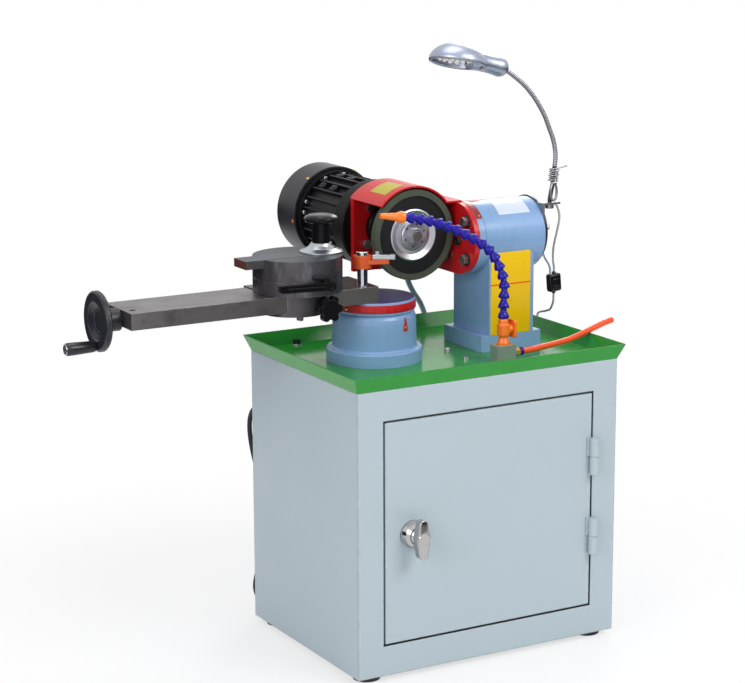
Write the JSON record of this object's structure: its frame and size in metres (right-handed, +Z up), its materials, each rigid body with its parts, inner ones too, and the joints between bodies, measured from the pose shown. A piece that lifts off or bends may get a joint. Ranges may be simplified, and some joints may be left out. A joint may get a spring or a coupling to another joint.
{
  "type": "saw blade sharpener",
  "caption": "Cabinet-mounted saw blade sharpener: tilting grinding head with motor, swivelling arm with a handwheel-driven blade carriage, coolant jet, gooseneck lamp and drip tray.",
  "frame": {"origin": "floor under the middle of the cabinet", "axes": "+Z up, -Y the door side, +X to the right as seen from the door"},
  "size_m": [0.7891, 0.482, 0.8286],
  "materials": {
    "cabinet_paint": "satin",
    "tray_paint": "satin",
    "blue_paint": "hammered blue paint",
    "red_paint": "gloss",
    "motor_paint": "grey paint",
    "steel": "ground",
    "dark_steel": "oiled",
    "cast": "machined",
    "chrome": "polished",
    "aluminium": "turned",
    "brass": "bright",
    "black_plastic": "gloss",
    "black_rubber": "matt",
    "orange_plastic": "gloss",
    "blue_plastic": "gloss",
    "hose_plastic": "satin",
    "grey_plastic": "matt",
    "abrasive": "rough",
    "lens": "clear",
    "winding": "varnished"
  },
  "bodies": {
    "stand": {"cabinet_wrap": "cabinet_paint", "cabinet_decks": "cabinet_paint", "front_frame": "cabinet_paint", "feet": "black_rubber", "drip_tray": "tray_paint", "tray_fasteners": "dark_steel", "hinge_posts": "steel", "swivel_base": "blue_paint", "column": "blue_paint", "coolant_manifold": "aluminium", "valve_body": "orange_plastic", "coolant_hose": "hose_plastic", "lamp_bracket": "steel", "gooseneck": "chrome", "tie_wire": "aluminium", "lamp_cord": "grey_plastic", "inline_switch": "black_plastic", "cable_glands": "black_plastic", "motor_cable": "grey_plastic", "mains_cord": "black_rubber", "mains_coil": "black_rubber", "mains_plug": "black_rubber"},
    "door": {"door_panel": "cabinet_paint", "hinge_barrels": "steel", "lock_escutcheon": "chrome"},
    "latch": {"lock_handle": "chrome"},
    "arm": {"turntable": "blue_paint", "arm_bar": "dark_steel"},
    "post": {"stop_post": "chrome"},
    "stop": {"stop_arm": "orange_plastic"},
    "finger": {"stop_finger": "chrome"},
    "crank": {"handwheel": "black_plastic", "lead_screw": "steel"},
    "grip": {"crank_grip": "black_plastic"},
    "saddle": {"carriage": "cast", "screw_nut": "brass"},
    "gib": {"gib_knob": "black_plastic"},
    "lever": {"clamp_lever": "black_plastic"},
    "seat": {"seat_disc": "cast"},
    "slide": {"cone_slide": "dark_steel", "centre_cone": "chrome"},
    "knob": {"clamp_knob": "black_plastic"},
    "head": {"head_collar": "blue_paint", "head_bracket": "red_paint", "head_bolts": "steel", "wheel_guard": "red_paint", "motor_body": "motor_paint", "end_shields": "motor_paint", "motor_bearings": "steel", "stator": "winding", "fan_cowl": "motor_paint"},
    "spindle": {"rotor_shaft": "steel", "fan": "black_plastic", "wheel_hub": "aluminium", "grinding_wheel": "abrasive"},
    "jet": {"jet_hose": "blue_plastic", "jet_nozzle": "orange_plastic"},
    "paddle": {"valve_lever": "orange_plastic"},
    "lamp": {"lamp_head": "chrome", "lamp_lens": "lens"}
  },
  "joints": [
    {"name": "door_hinge", "type": "hinge", "parent": "stand", "child": "door", "pos_m": [0.1645, -0.1584, 0.2], "axis": [0, 0, 1], "range_deg": [0, 110]},
    {"name": "latch_turn", "type": "hinge", "parent": "door", "child": "latch", "pos_m": [-0.122, -0.152, 0.199], "axis": [0, 1, 0], "range_deg": [0, 90]},
    {"name": "arm_swivel", "type": "hinge", "parent": "stand", "child": "arm", "pos_m": [-0.085, 0.013, 0.4688], "axis": [0, 0, 1], "range_deg": [-30, 30]},
    {"name": "handwheel_turn", "type": "hinge", "parent": "arm", "child": "crank", "pos_m": [-0.462, 0.013, 0.4948], "axis": [1, 0, 0], "range_deg": [-182, 6752]},
    {"name": "carriage_slide", "type": "slide", "parent": "arm", "child": "saddle", "axis": [1, 0, 0], "range_m": [-0.15, 0.004]},
    {"name": "crank_spin", "type": "hinge", "parent": "crank", "child": "grip", "pos_m": [-0.5143, 0.013, 0.4628], "axis": [1, 0, 0], "continuous": true},
    {"name": "seat_swivel", "type": "hinge", "parent": "saddle", "child": "seat", "pos_m": [-0.206, 0.006, 0.5281], "axis": [0, 0, 1], "range_deg": [-30, 30]},
    {"name": "clamp_lever_turn", "type": "hinge", "parent": "saddle", "child": "lever", "pos_m": [-0.1915, -0.054, 0.5231], "axis": [0, 1, 0], "range_deg": [-25, 35]},
    {"name": "gib_knob_turn", "type": "hinge", "parent": "saddle", "child": "gib", "pos_m": [-0.188, -0.045, 0.4903], "axis": [0, 1, 0], "continuous": true},
    {"name": "cone_travel", "type": "slide", "parent": "seat", "child": "slide", "axis": [1, 0, 0], "range_m": [-0.06, 0]},
    {"name": "clamp_knob_turn", "type": "hinge", "parent": "slide", "child": "knob", "pos_m": [-0.17, 0.006, 0.59], "axis": [0, 0, 1], "continuous": true},
    {"name": "stop_height", "type": "slide", "parent": "arm", "child": "post", "axis": [0, 0, 1], "range_m": [0, 0.015]},
    {"name": "stop_swing", "type": "hinge", "parent": "post", "child": "stop", "pos_m": [-0.12, -0.017, 0.5388], "axis": [0, 0, 1], "range_deg": [-25, 25]},
    {"name": "finger_travel", "type": "slide", "parent": "stop", "child": "finger", "axis": [0.866, -0.5, 0], "range_m": [0, 0.008]},
    {"name": "head_tilt", "type": "hinge", "parent": "stand", "child": "head", "pos_m": [0.06, 0.0125, 0.555], "axis": [1, 0, 0], "range_deg": [-20, 20], "deforming": ["motor_cable"]},
    {"name": "spindle_spin", "type": "hinge", "parent": "head", "child": "spindle", "pos_m": [-0.0218, 0.02, 0.565], "axis": [0, 1, 0], "continuous": true},
    {"name": "valve_turn", "type": "hinge", "parent": "stand", "child": "paddle", "pos_m": [0.066, -0.098, 0.4455], "axis": [1, 0, 0], "range_deg": [0, 90]},
    {"name": "jet_swivel", "type": "hinge", "parent": "stand", "child": "jet", "pos_m": [0.053, -0.098, 0.4605], "axis": [0, 0, 1], "range_deg": [-6, 25]},
    {"name": "lamp_swivel", "type": "hinge", "parent": "stand", "child": "lamp", "pos_m": [0.1052, -0.022, 0.7855], "axis": [-0.8275, 0, 0.5615], "range_deg": [-35, 35]}
  ],
  "couplings": [
    {"joint": "handwheel_turn", "follows": "carriage_slide", "rad_per_m": -785.4}
  ]
}
